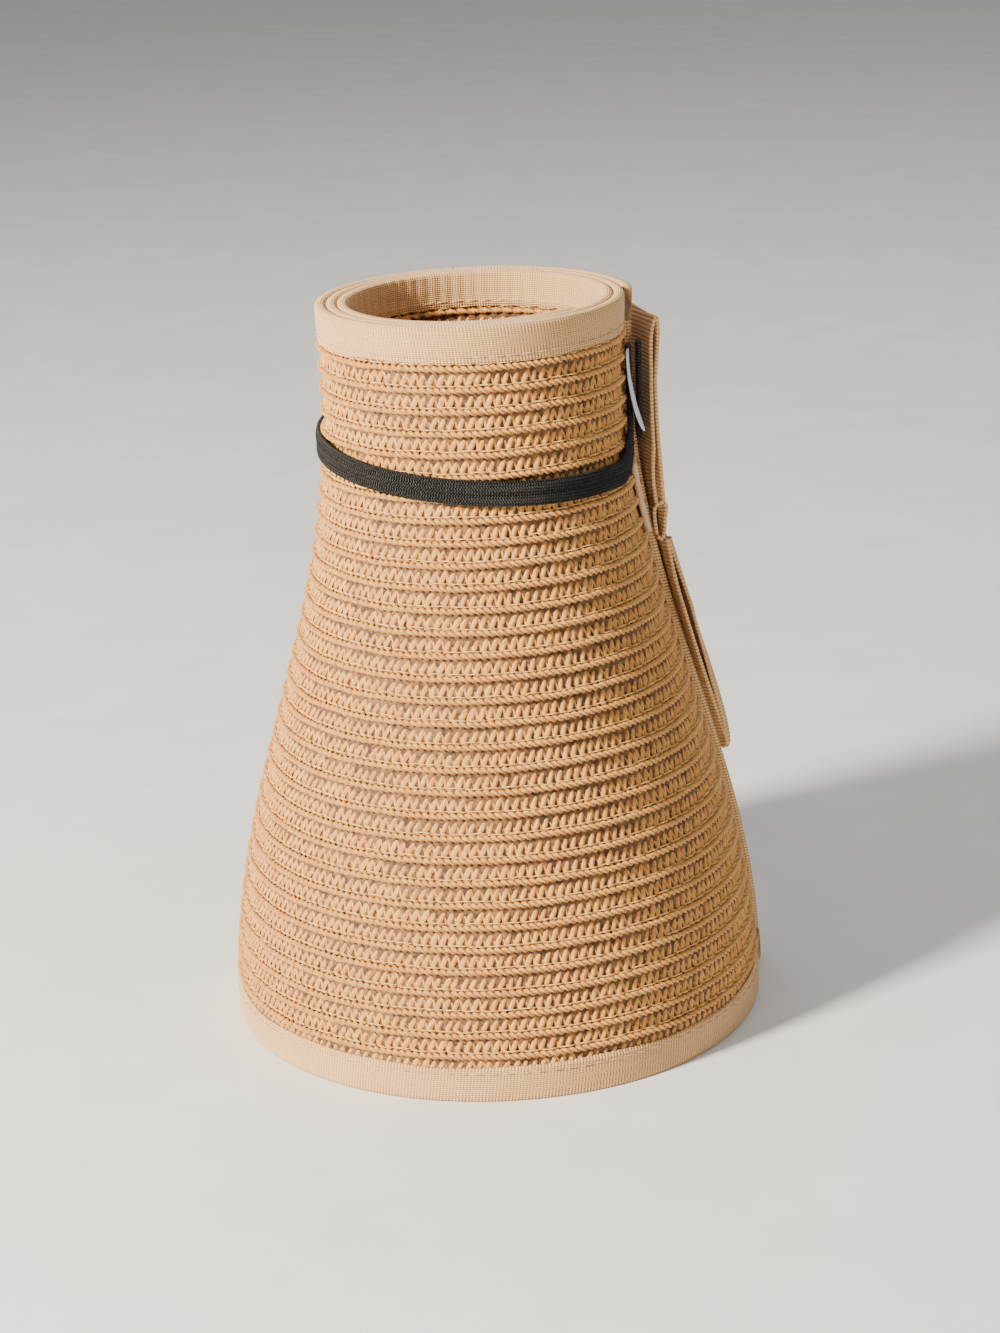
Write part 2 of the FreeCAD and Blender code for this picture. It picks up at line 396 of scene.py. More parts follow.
class ShaderGraph(NodeGraph):
    """A material's node tree with its surface shader."""

    def __init__(self, name: str) -> None:
        """Makes an empty material with one Principled shader."""
        self.material = bpy.data.materials.new(name)
        self.material.use_nodes = True
        super().__init__(self.material.node_tree)
        self.tree.nodes.clear()
        self.shader = self.add("ShaderNodeBsdfPrincipled")
        self.add("ShaderNodeOutputMaterial", {"Surface": self.shader.outputs[0]})

    def attribute(self, name: str, output: str = "Fac") -> Socket:
        """A stored attribute of the piece."""
        return self.add("ShaderNodeAttribute", attribute_name=name).outputs[output]

    def noise(self, vector, scale: float, detail: float = 3.0, rough: float = 0.55) -> Socket:
        """A noise pattern's factor."""
        sizes = {"Vector": vector, "Scale": scale, "Detail": detail, "Roughness": rough}
        return self.add("ShaderNodeTexNoise", sizes).outputs[0]

    def grain(self, scale: float, detail: float = 3.0) -> Socket:
        """Noise fixed to the piece's own Object coordinates."""
        return self.noise(self.add("ShaderNodeTexCoord").outputs["Object"], scale, detail)

    def ramp(self, factor, stops: list) -> Socket:
        """A colour ramp from (position, colour) stops."""
        node = self.add("ShaderNodeValToRGB", {"Fac": factor})
        band = node.color_ramp
        while len(band.elements) < len(stops):
            band.elements.new(0.5)
        for element, (position, colour) in zip(band.elements, stops):
            element.position = position
            element.color = (*colour, 1)
        return node.outputs[0]

    def mix(self, factor, first, second, how: str = "MIX") -> Socket:
        """Mixes two colours."""
        node = self.add("ShaderNodeMix", data_type="RGBA", blend_type=how)
        for index, value in ((0, factor), (6, first), (7, second)):
            self.feed(node.inputs[index], (*value, 1) if isinstance(value, tuple) else value)
        return node.outputs[2]

    def bump(self, height, strength: float, distance: float, below=None) -> Socket:
        """A bump normal, stacked on another one if given."""
        inputs = {"Height": height, "Strength": strength, "Distance": distance}
        if below is not None:
            inputs["Normal"] = below
        return self.add("ShaderNodeBump", inputs).outputs[0]

    def surface(self, **inputs) -> bpy.types.Material:
        """Sets the shader's sockets, with spaces written as underscores."""
        for name, value in inputs.items():
            self.feed(self.shader.inputs[name.replace("_", " ")], value)
        return self.material


@dataclass(frozen=True)
class StrawFinish:
    """Twisted and flat paper straw: long fibres, a colour of its own per strand, a soft gloss."""

    name: str = "paper_straw"
    pale: tuple = (0.96, 0.555, 0.14)
    golden: tuple = (0.88, 0.40, 0.075)
    rosy: tuple = (0.91, 0.445, 0.12)
    groove: tuple = (0.38, 0.175, 0.055)
    across_scale: float = 9.0

    def build(self) -> bpy.types.Material:
        """Makes the material."""
        g = ShaderGraph(self.name)
        tint = g.attribute("tint")
        across = g.attribute("across")
        along = g.attribute("along")
        shift = g.times(tint, 37.0)
        line = g.triple(g.times(across, self.across_scale), g.times(along, 0.9), shift)
        fibre = g.noise(line, 1.0, 4.0, 0.62)
        patch = g.grain(90.0, 2.0)
        body = g.ramp(tint, [(0.0, self.golden), (0.35, self.pale), (0.65, self.rosy), (1.0, self.pale)])
        mottled = g.mix(g.times(patch, 0.5), body, self.golden)
        lined = g.ramp(fibre, [(0.34, self.groove), (0.48, (0.80, 0.66, 0.48)), (0.6, (1.0, 1.0, 1.0))])
        colour = g.mix(0.85, mottled, lined, "MULTIPLY")
        normal = g.bump(fibre, 1.0, 0.00028)
        rough = g.plus(g.times(fibre, 0.3), 0.28)
        return g.surface(
            Base_Color=colour, Roughness=rough, Normal=normal, Sheen_Weight=0.12, Specular_IOR_Level=0.42)


@dataclass(frozen=True)
class ShadowStrawFinish:
    """The straw seen between the strands, down in the braid: a dark sheet painted as shade."""

    name: str = "inner_straw"
    darkest_shade: tuple = (0.055, 0.022, 0.008)
    light: tuple = (0.26, 0.125, 0.042)

    def build(self) -> bpy.types.Material:
        """Makes the material."""
        g = ShaderGraph(self.name)
        speck = g.grain(900.0)
        # both stops are painted shade, speckled by grain: the sheet behind the openwork in shadow
        colour = g.ramp(speck, [(0.38, self.darkest_shade), (0.66, self.light)])
        return g.surface(Base_Color=colour, Roughness=0.8, Normal=g.bump(speck, 0.6, 0.0003))


@dataclass(frozen=True)
class RibbonFinish:
    """Grosgrain ribbon: pale crests, dark rosy valleys painted as the shade between the ribs, and fine warp threads
    crossing the ribs.
    """

    name: str = "grosgrain"
    crest: tuple = (0.98, 0.57, 0.22)
    shaded_valley: tuple = (0.22, 0.085, 0.032)
    warp_pitch: float = 0.42
    sheen: float = 0.25

    def build(self) -> bpy.types.Material:
        """Makes the material."""
        g = ShaderGraph(self.name)
        rib = g.attribute("rib")
        across = g.attribute("across_mm")
        along = g.attribute("along_mm")
        warp = g.wave(g.times(across, math.tau / self.warp_pitch))
        fluff = g.noise(g.triple(g.times(along, 1.7), g.times(across, 3.3)), 1.0)
        cloud = g.grain(70.0, 2.0)
        height = g.plus(g.times(rib, 0.7), g.times(warp, 0.3))
        # the valley stop is painted shade between the ribs; fluff also pulls random patches towards it
        base = g.ramp(height, [(0.16, self.shaded_valley), (0.72, self.crest)])
        varied = g.mix(g.times(fluff, 0.28), base, self.shaded_valley)
        worn = g.mix(g.times(cloud, 0.14), varied, (0.95, 0.64, 0.33))
        relief = g.bump(fluff, 0.35, 0.00006, g.bump(warp, 0.9, 0.00014))
        rough = g.plus(g.times(fluff, 0.2), 0.62)
        return g.surface(
            Base_Color=worn, Roughness=rough, Normal=relief, Sheen_Weight=self.sheen, Specular_IOR_Level=0.3)


@dataclass(frozen=True)
class ElasticFinish:
    """Black braided elastic with a fine herringbone of yarn on each rib, the yarn crests painted lighter as
    highlight.
    """

    name: str = "black_elastic"
    yarn_pitch: float = 0.55
    black: tuple = (0.0015, 0.0015, 0.0015)
    # worn and lit: dust on the yarn, with a painted highlight where the yarn crests catch the light
    worn: tuple = (0.013, 0.012, 0.011)
    lit: tuple = (0.15, 0.14, 0.125)

    def build(self) -> bpy.types.Material:
        """Makes the material."""
        g = ShaderGraph(self.name)
        across = g.attribute("across_mm")
        along = g.attribute("along_mm")
        fold = g.times(g.math("PINGPONG", across, 0.4), 9.0)
        yarn = g.wave(g.plus(g.times(along, math.tau / self.yarn_pitch), fold))
        dust = g.grain(2600.0, 2.0)
        tone = g.plus(g.times(yarn, 0.6), g.times(dust, 0.5))
        # the upper stops paint the highlight on the yarn crests, lifted further by dust
        colour = g.ramp(tone, [(0.30, self.black), (0.74, self.worn), (0.97, self.lit)])
        rough = g.plus(g.times(yarn, -0.15), 0.55)
        relief = g.bump(yarn, 1.0, 0.0003)
        return g.surface(Base_Color=colour, Roughness=rough, Normal=relief, Specular_IOR_Level=0.22)


@dataclass(frozen=True)
class ThreadFinish:
    """Sewing thread, twisted and slightly glossy."""

    name: str = "sewing_thread"
    colour: tuple = (0.93, 0.66, 0.24)
    dark: tuple = (0.55, 0.36, 0.13)

    def build(self) -> bpy.types.Material:
        """Makes the material."""
        g = ShaderGraph(self.name)
        strand = g.grain(2400.0, 2.0)
        colour = g.ramp(strand, [(0.35, self.dark), (0.6, self.colour)])
        relief = g.bump(strand, 0.4, 0.00005)
        return g.surface(Base_Color=colour, Roughness=0.5, Normal=relief, Sheen_Weight=0.2)


@dataclass(frozen=True)
class WovenFinish:
    """A plain woven cloth, coarse or satin."""

    name: str
    light: tuple
    dark: tuple
    pitch: float = 0.35
    gloss: float = 0.6

    def build(self) -> bpy.types.Material:
        """Makes the material."""
        g = ShaderGraph(self.name)
        across = g.times(g.attribute("across_mm"), math.tau / self.pitch)
        along = g.times(g.attribute("along_mm"), math.tau / self.pitch)
        cross = g.times(g.math("SINE", across), g.math("SINE", along))
        weave = g.plus(g.times(cross, 0.5), 0.5)
        cloud = g.grain(300.0)
        tone = g.plus(g.times(weave, 0.5), g.times(cloud, 0.5))
        colour = g.ramp(tone, [(0.3, self.dark), (0.62, self.light)])
        rough = g.plus(g.times(weave, 0.15), self.gloss)
        relief = g.bump(weave, 0.5, 0.00008)
        return g.surface(Base_Color=colour, Roughness=rough, Normal=relief, Sheen_Weight=0.2)


# ---- shared trees


@dataclass
class Workshop:
    """Materials, small repeated parts and trees that the sub-assemblies share."""

    roll: Roll = field(default_factory=Roll)
    stitch_length: float = 3.7
    inner_stitch: float = 4.4

    def __post_init__(self) -> None:
        """Builds what is shared."""
        self.straw = StrawFinish().build()
        self.cord_straw = StrawFinish("twisted_straw", across_scale=5.0).build()
        self.shadow = ShadowStrawFinish().build()
        self.ribbon = RibbonFinish().build()
        # the bow ribbon's second colour is its valley, painted dark as the shade between the ribs
        self.bow_ribbon = RibbonFinish("bow_grosgrain", (0.98, 0.57, 0.22), (0.22, 0.09, 0.035)).build()
        self.elastic = ElasticFinish().build()
        self.thread = ThreadFinish().build()
        self.tape_thread = ThreadFinish("binding_thread", (0.76, 0.50, 0.28), (0.42, 0.24, 0.12)).build()
        self.tab_cloth = WovenFinish("tab_cloth", (0.84, 0.60, 0.36), (0.50, 0.31, 0.16)).build()
        # the label is white satin; its blue-grey colours paint the bluish shade that falls on it
        satin = WovenFinish("label_satin", (0.80, 0.85, 0.93), (0.56, 0.60, 0.68), 0.22, 0.35)
        self.label_satin = satin.build()
        self.spares: list[bpy.types.Object] = []
        self.strands = [self.strand_unit(seed) for seed in range(UNIT_COUNT)]
        self.stitch = self.thread_stitch()
        self.collection = self.strand_collection()
        self.braid_tree = self.make_braid_tree()
        self.tape_tree = self.make_tape_tree()
        self.seam_tree = self.make_seam_tree()

    # -- small parts

    def strand(
        self, foot: tuple, head: tuple, width: float, lift: float, sink: tuple
    ) -> tuple[Array, Array, Array]:
        """One flat straw strand, arched outwards, as a grid of points.

        Args:
            foot: (x, up) of its lower end.
            head: (x, up) of its upper end.
            width: Its width.
            lift: How far its middle arches out.
            sink: How far its two ends tuck in.

        Returns:
            Points with out as negative y, then across and along values.
        """
        crown = np.array([-1.0, -0.40, 0.40, 1.0])
        drop = np.array([0.34, 0.02, 0.0, 0.30])
        share = np.array([0.0, 0.28, 0.68, 1.0])
        taper = np.array([0.72, 1.0, 1.0, 0.86])
        reach = np.array(head) - np.array(foot)
        middle = np.array(foot)[None] + share[:, None] * reach[None]
        run = reach / np.hypot(*reach)
        sideways = np.array([run[1], -run[0]])
        flat = middle[:, None] + sideways * (crown[None, :, None] * taper[:, None, None] * width / 2)
        out = lift * np.sin(np.pi * share) - (1 - share) * sink[0] - share * sink[1]
        depth = out[:, None] - drop[None]
        points = np.stack([flat[..., 0], -depth, flat[..., 1]], -1).reshape(-1, 3)
        across = np.broadcast_to((crown * width / 2)[None], (4, 4)).ravel()
        along = np.broadcast_to((share * math.dist(foot, head))[:, None], (4, 4)).ravel()
        return points, across, along

    def strand_unit(self, seed: int) -> bpy.types.Object:
        """One repeat of the braid's openwork: two leaning strands, a crossing one and two small turns."""
        rng = np.random.default_rng(seed)

        def shake(size: float) -> float:
            """A small random shift."""
            return float(rng.normal(0, size))

        recipe = [
            ((-0.05 + shake(0.09), 1.25), (1.24 + shake(0.10), 4.15), 1.02 + shake(0.07), 0.40, (0.22, 0.70)),
            ((1.12 + shake(0.09), 4.10), (1.78 + shake(0.09), 1.45), 0.66, 0.10, (0.66, 0.36)),
            ((1.80 + shake(0.09), 1.25), (3.09 + shake(0.10), 4.15), 1.00 + shake(0.07), 0.42, (0.20, 0.70)),
            ((2.97 + shake(0.09), 4.10), (3.63 + shake(0.09), 1.45), 0.64, 0.08, (0.68, 0.38)),
            ((-0.30, 2.10 + shake(0.09)), (1.15, 1.10), 0.66, 0.50, (0.35, 0.30)),
            ((1.55, 2.06 + shake(0.09)), (3.00, 1.10), 0.66, 0.50, (0.35, 0.30)),
        ]
        verts, across, along, tint, faces = [], [], [], [], []
        for piece in recipe:
            points, side, run = self.strand(*piece)
            faces += grid_faces(4, 4, start=sum(len(v) for v in verts))
            verts.append(points)
            across.append(side)
            along.append(run)
            tint.append(np.full(len(points), rng.uniform()))
        unit = new_object(f"strand_unit_{seed}", np.concatenate(verts), [f[::-1] for f in faces])
        put(unit.data, "across", np.concatenate(across))
        put(unit.data, "along", np.concatenate(along))
        put(unit.data, "own_tint", np.concatenate(tint))
        return self.spare(unit)

    def spare(self, part: bpy.types.Object) -> bpy.types.Object:
        """Keeps a small part out of the renders until it is cleared away."""
        part.hide_render = True
        self.spares.append(part)
        return part

    def thread_stitch(self) -> bpy.types.Object:
        """One running stitch that dips into the braid at both ends."""
        share = np.linspace(0, 1, 5)
        radius = 0.10
        ring = np.radians([45, 135, 225, 315])
        x = 0.05 + share * 3.4
        up = 1.55 + 0.10 * np.sin(share * math.pi)
        out = 0.62 * np.sin(np.pi * share) ** 0.5 - 0.26
        points = [
            [x[i], -(out[i] + radius * math.cos(a)), up[i] + radius * math.sin(a)] for i in range(5) for a in ring]
        stitch = new_object("thread_stitch", np.array(points), grid_faces(5, 4, loop_columns=True))
        return self.spare(stitch)

    def strand_collection(self) -> bpy.types.Collection:
        """Gathers the strand units so that a tree can pick among them."""
        group = bpy.data.collections.new("strand_units")
        for unit in self.strands:
            group.objects.link(unit)
        return group

    # -- trees

    def turned_frame(self, g: GeometryTree) -> Socket:
        """The rotation that stands a small part on a guide: x along it, z up the sheet's slant."""
        tangent = g.add("GeometryNodeInputTangent").outputs[0]
        up = g.named("face_up", "FLOAT_VECTOR")
        node = g.add("FunctionNodeAxesToRotation", {0: up, 1: tangent}, primary_axis="Z", secondary_axis="X")
        return node.outputs[0]

    def sewn(self, g: GeometryTree, stations, stitch, thread, scale: tuple) -> Socket:
        """Stitches that stand on a guide's stations, each scaled by its own (x, y, z)."""
        part = g.add("GeometryNodeObjectInfo", {0: stitch, "As Instance": True}, transform_space="ORIGINAL")
        placed = {"Points": stations, "Instance": part.outputs["Geometry"], "Rotation": self.turned_frame(g)}
        placed["Scale"] = g.triple(*scale)
        return g.dressed(g.add("GeometryNodeInstanceOnPoints", placed).outputs[0], thread)

    def make_braid_tree(self) -> GeometryTree:
        """Rows of braid along guides: openwork strands, a twisted cord at the lower edge, sewing thread."""
        g = GeometryTree("Braid Rows")
        length, seed = g.size("Stitch Length"), g.size("Seed")
        cord_radius, twist, step = g.size("Cord Radius"), g.size("Twist Pitch"), g.size("Cord Step")
        units = g.size("Strand Units", "Collection")
        stitch = g.size("Stitch", "Object")
        straw, cord, thread = (g.size(n, "Material") for n in ("Straw", "Cord Straw", "Thread"))
        guide = g.add("GeometryNodeMeshToCurve", {0: g.entry.outputs[0]}).outputs[0]

        stations = g.stations(guide, length)
        options = g.add("GeometryNodeCollectionInfo", {0: units, 1: True, 2: True}, transform_space="ORIGINAL")
        scale = g.triple(g.random(0.94, 1.08, seed, 2), g.random(0.8, 1.25, seed, 3), g.named("stretch"))
        placed = {"Points": stations, "Instance": options.outputs[0], "Pick Instance": True, "Scale": scale}
        placed["Instance Index"] = g.random(0, UNIT_COUNT - 1, seed, 1, "INT")
        placed["Rotation"] = self.turned_frame(g)
        place = g.add("GeometryNodeInstanceOnPoints", placed)
        shade = g.store(place.outputs[0], "unit_tint", g.random(0.0, 1.0, seed, 4), domain="INSTANCE")
        solid = g.add("GeometryNodeRealizeInstances", {0: shade}).outputs[0]
        tint = g.math("FRACT", g.plus(g.named("unit_tint"), g.named("own_tint")))
        strands = g.dressed(g.store(solid, "tint", tint), straw)

        fine = g.stations(guide, step)
        run = g.add("GeometryNodeSplineParameter").outputs["Length"]
        fine = g.store(fine, "along", g.times(run, 1000.0))
        spot = g.add("GeometryNodeInputPosition").outputs[0]
        wander = g.add("ShaderNodeTexNoise", {"Vector": spot, "Scale": 130.0})
        lift = g.times(g.math("SUBTRACT", wander.outputs[0], 0.5), 0.6 * MM)
        rise = g.plus(g.times(cord_radius, 0.95), lift)
        upward = g.vector("SCALE", g.named("face_up", "FLOAT_VECTOR"), rise)
        outward = g.vector("SCALE", g.named("face_out", "FLOAT_VECTOR"), g.named("cord_out"))
        moved = g.shifted(fine, g.vector("ADD", upward, outward))
        turn = g.times(g.math("DIVIDE", run, twist), math.pi)
        tilted = g.add("GeometryNodeSetCurveTilt", {"Curve": moved, "Tilt": turn}).outputs[0]
        ring = g.add("GeometryNodeCurvePrimitiveCircle", {"Resolution": 8, "Radius": cord_radius}).outputs[0]
        angle = g.times(g.add("GeometryNodeSplineParameter").outputs["Factor"], math.tau)
        lobes = g.plus(g.times(g.math("COSINE", g.times(angle, 2.0)), 0.30), 0.80)
        shape = g.vector("SCALE", spot, lobes)
        section = g.add("GeometryNodeSetPosition", {"Geometry": ring, "Position": shape}).outputs[0]
        section = g.store(section, "across", angle)
        rope = g.add("GeometryNodeCurveToMesh", {"Curve": tilted, "Profile Curve": section}).outputs[0]
        patch = g.add("ShaderNodeTexNoise", {"Vector": spot, "Scale": 160.0})
        cords = g.dressed(g.store(rope, "tint", patch.outputs[0]), cord)

        wobble = (1.0, g.random(0.7, 1.2, seed, 5), g.random(0.90, 1.12, seed, 6))
        g.close(strands, cords, self.sewn(g, stations, stitch, thread, wobble))
        return g

    def make_tape_tree(self) -> GeometryTree:
        """Ribbed ribbon: a mesh whose points know how far along and across they are gets raised ribs."""
        g = GeometryTree("Ribbed Ribbon")
        pitch, depth, slant = g.size("Rib Pitch"), g.size("Rib Depth"), g.size("Rib Slant")
        ruck, cloth = g.size("Ruck"), g.size("Ribbon", "Material")
        shifted = g.plus(g.named("along_mm"), g.times(g.named("across_mm"), slant))
        rib = g.math("POWER", g.wave(g.times(g.math("DIVIDE", shifted, pitch), math.tau)), 0.7)
        body = g.store(g.entry.outputs[0], "rib", rib)
        normal = g.add("GeometryNodeInputNormal").outputs[0]
        spot = g.add("GeometryNodeInputPosition").outputs[0]
        cloud = g.add("ShaderNodeTexNoise", {"Vector": spot, "Scale": 120.0}).outputs[0]
        rise = g.times(g.math("SUBTRACT", cloud, 0.5), ruck)
        height = g.plus(g.times(rib, depth), rise)
        raised = g.shifted(body, g.vector("SCALE", normal, height))
        g.close(g.dressed(raised, cloth))
        return g

    def make_seam_tree(self) -> GeometryTree:
        """A line of sewing stitches along guides."""
        g = GeometryTree("Seam")
        length, seed = g.size("Stitch Length"), g.size("Seed")
        stitch, thread = g.size("Stitch", "Object"), g.size("Thread", "Material")
        guide = g.add("GeometryNodeMeshToCurve", {0: g.entry.outputs[0]}).outputs[0]
        wobble = (g.random(0.86, 1.0, seed, 1), 1.0, 1.0)
        g.close(self.sewn(g, g.stations(guide, length), stitch, thread, wobble))
        return g

    # -- guides

    def guides(self, name: str, runs: list[dict]) -> bpy.types.Object:
        """A host mesh of polylines on the sheet.

        Args:
            name: The piece's name.
            runs: One dict per line: turns (start, end), z, out, cord_out and inside.

        Returns:
            The host, with face_out, face_up, stretch and cord_out stored per point.
        """
        roll = self.roll
        verts, edges, outs, ups, stretches, cords = [], [], [], [], [], []
        count = 0
        for run in runs:
            start, end = run["turns"]
            turns = np.linspace(start, end, max(3, int(abs(end - start) / 2.0)))
            z = np.full_like(turns, run["z"])
            points = roll.place(turns, z, run["out"])
            out, up = roll.facing(turns, z + roll.row_pitch / 2)
            if run.get("inside"):
                out = -out
            verts.append(points)
            edges += [(count + i, count + i + 1) for i in range(len(turns) - 1)]
            count += len(turns)
            outs.append(out)
            ups.append(up)
            stretches.append(np.sqrt(1 + roll.lean(z + roll.row_pitch / 2) ** 2))
            cords.append(np.full(len(turns), run.get("cord_out", 0.1) * MM))
        host = new_object(name, np.concatenate(verts), [], edges)
        put(host.data, "face_out", np.concatenate(outs), "FLOAT_VECTOR")
        put(host.data, "face_up", np.concatenate(ups), "FLOAT_VECTOR")
        put(host.data, "stretch", np.concatenate(stretches))
        put(host.data, "cord_out", np.concatenate(cords))
        return host

    def braid(self, name: str, runs: list[dict], seed: int) -> bpy.types.Object:
        """Builds braid rows along guides; the rows of an inner face are coarser."""
        inner = runs[0]["inside"]
        host = self.guides(name, runs)
        values = {
            "Stitch Length": (self.inner_stitch if inner else self.stitch_length) * MM,
            "Seed": float(seed * 10),
            "Cord Radius": 0.70 * MM,
            "Twist Pitch": (2.4 if inner else 1.42) * MM,
            "Cord Step": (0.8 if inner else 0.5) * MM,
            "Strand Units": self.collection,
            "Stitch": self.stitch,
            "Straw": self.straw,
            "Cord Straw": self.cord_straw,
            "Thread": self.thread,
        }
        return self.braid_tree.apply(host, values)

    def clear_spares(self) -> None:
        """Removes the small parts once every tree has run."""
        for spare in self.spares:
            bpy.data.objects.remove(spare)
        bpy.data.collections.remove(self.collection)


# ---- swept strips


def spline(points: list, count: int) -> Array:
    """A smooth path through control points, evenly spaced.

    Args:
        points: Control points of any dimension.
        count: How many points to return.

    Returns:
        The path's points, one row each.
    """
    keys = np.asarray(points, float)
    padded = np.vstack([2 * keys[0] - keys[1], keys, 2 * keys[-1] - keys[-2]])
    share = np.linspace(0, 1, 40, endpoint=False)[:, None]
    spans = []
    for a, b, c, d in zip(padded, padded[1:], padded[2:], padded[3:]):
        cubic = 2 * b + (c - a) * share + (2 * a - 5 * b + 4 * c - d) * share**2
        spans.append((cubic + (3 * b - a - 3 * c + d) * share**3) / 2)
    fine = np.vstack([*spans, keys[-1]])
    run = np.concatenate([[0], np.cumsum(np.linalg.norm(np.diff(fine, axis=0), axis=1))])
    even = np.linspace(0, run[-1], count)
    return np.stack([np.interp(even, run, fine[:, k]) for k in range(keys.shape[1])], 1)


def ring_strip(name: str, rings: Array, along: Array, across: Array) -> bpy.types.Object:
    """A closed skin through cross-section rings, capped at both ends.

    Args:
        name: The piece's name.
        rings: Points in millimetres, stations by ring points by 3.
        along: Distance along per station.
        across: Distance across per ring point, or per station and ring point.

    Returns:
        The piece, with along_mm and across_mm stored and its faces outwards.
    """
    stations, size = rings.shape[:2]
    faces = grid_faces(stations, size, loop_columns=True)
    faces.append(list(range(size)))
    faces.append([(stations - 1) * size + k for k in reversed(range(size))])
    piece = new_object(name, rings.reshape(-1, 3), faces)
    put(piece.data, "along_mm", np.repeat(along, size))
    put(piece.data, "across_mm", np.broadcast_to(across, (stations, size)).ravel())
    work = bmesh.new()
    work.from_mesh(piece.data)
    bmesh.ops.recalc_face_normals(work, faces=work.faces)
    if work.calc_volume(signed=True) < 0:
        bmesh.ops.reverse_faces(work, faces=work.faces)
    work.to_mesh(piece.data)
    work.free()
    return piece


def run_length(path: Array) -> Array:
    """Distance along a path at each of its points."""
    return np.concatenate([[0], np.cumsum(np.linalg.norm(np.diff(path, axis=0), axis=1))])


# ---- straw


@dataclass
class StrawSheet:
    """The rolled sheet of braid rows, outside, inside and on the free flap."""

    shop: Workshop
    core: tuple = (-0.75, -0.45)
    inner_groups: int = 7
    flap_split: int = 16
    under_tape_sink: float = -0.35
    cord_proud: float = 0.16

    def rows(self, turns: tuple, indices: range, inside: bool = False) -> list[dict]:
        """Guide runs for some rows."""
        roll = self.shop.roll
        runs = []
        for i in indices:
            under_tape = i in (0, 1, roll.row_count - 1)
            out = -roll.sheet if inside else 0.0
            runs.append({"turns": turns, "z": roll.row_edge(i), "out": out, "inside": inside,
                         "cord_out": self.under_tape_sink if under_tape else self.cord_proud})
        return runs

    def build_outer(self) -> None:
        """One piece for each row of the outer turn."""
        roll = self.shop.roll
        for i in range(roll.row_count):
            runs = self.rows((roll.flap_turn, roll.outer_end), range(i, i + 1))
            row = self.shop.braid(f"straw_row_{i + 1:02d}", runs, i + 1)
            finish_piece(row, Body.ROLL, Slot.STRAW, f"braid_row_{i + 1:02d}")

    def build_flap(self) -> None:
        """The free flap's rows, in a lower and an upper piece."""
        roll = self.shop.roll
        split, count, fold = self.flap_split, roll.row_count, roll.end_fold
        for name, low, high in (("flap_straw_lower", 0, split), ("flap_straw_upper", split, count)):
            piece = self.shop.braid(name, self.rows((fold, roll.flap_turn), range(low, high)), 60 + low)
            flap_ride(self.shop, piece, Slot.STRAW, *(["flap_braid_rows"] if low == 0 else []))
        for name, low, high in (("flap_lining_lower", 0, split), ("flap_lining_upper", split, count)):
            runs = self.rows((roll.flap_turn, fold), range(low, high), inside=True)
            flap_ride(self.shop, self.shop.braid(name, runs, 80 + low), Slot.STRAW)

    def build_inner(self) -> None:
        """The rows seen inside the bore."""
        roll = self.shop.roll
        size = math.ceil(roll.row_count / self.inner_groups)
        for k in range(self.inner_groups):
            low, high = k * size, min((k + 1) * size, roll.row_count)
            runs = self.rows((roll.inner_end - roll.end_fold, roll.bore_start), range(low, high), inside=True)
            piece = self.shop.braid(f"inner_straw_{k + 1}", runs, 90 + k)
            finish_piece(piece, Body.ROLL, Slot.STRAW, *(["inner_wraps"] if k == 0 else []))

    def build_core(self) -> None:
        """The middle of the sheet behind the openwork: a dark sheet painted as shade."""
        roll = self.shop.roll
        z = np.linspace(0.6, roll.height - 0.6, 50)
        spans = (("sheet_core", (roll.flap_turn, roll.inner_end)), ("flap_core", (0.5, roll.flap_turn)))
        for name, turns in spans:
            stations = np.linspace(*turns, int((turns[1] - turns[0]) / 2.5) + 2)
            heights = np.concatenate([z, z[::-1]])
            outs = np.concatenate([np.full(len(z), self.core[1]), np.full(len(z), self.core[0])])
            rings = roll.place(stations[:, None], heights[None], outs[None])
            piece = smooth(ring_strip(name, rings, stations, heights))
            # the backing's colour is painted shade, not the straw's own colour
            piece.data.materials.append(self.shop.shadow)
            if name == "flap_core":
                flap_ride(self.shop, piece, Slot.STRAW)
            else:
                finish_piece(piece, Body.ROLL, Slot.STRAW)

    def build(self) -> None:
        """Builds the whole sheet."""
        self.build_outer()
        self.build_flap()
        self.build_inner()
        self.build_core()


def flap_ride(shop: Workshop, piece: bpy.types.Object, slot: Slot, *nodes: str) -> None:
    """Bakes a flap piece's transform into its mesh and hides the frame's nodes that it stands for.

    Args:
        shop: Holds the roll's shape.
        piece: The piece.
        slot: Its material slot; not used.
        *nodes: The frame's nodes that it stands for.
    """
    level, bend_width = 75.0, 14
    azimuth = shop.roll.end_azimuth + shop.roll.flap_turn
    start = shop.roll.polar(float(shop.roll.radius(level)), azimuth, level)
    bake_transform(piece)
    if nodes:
        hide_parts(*nodes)
    LOG.info("%s: %d faces on the flap", piece.name, len(piece.data.polygons))


# ---- bindings


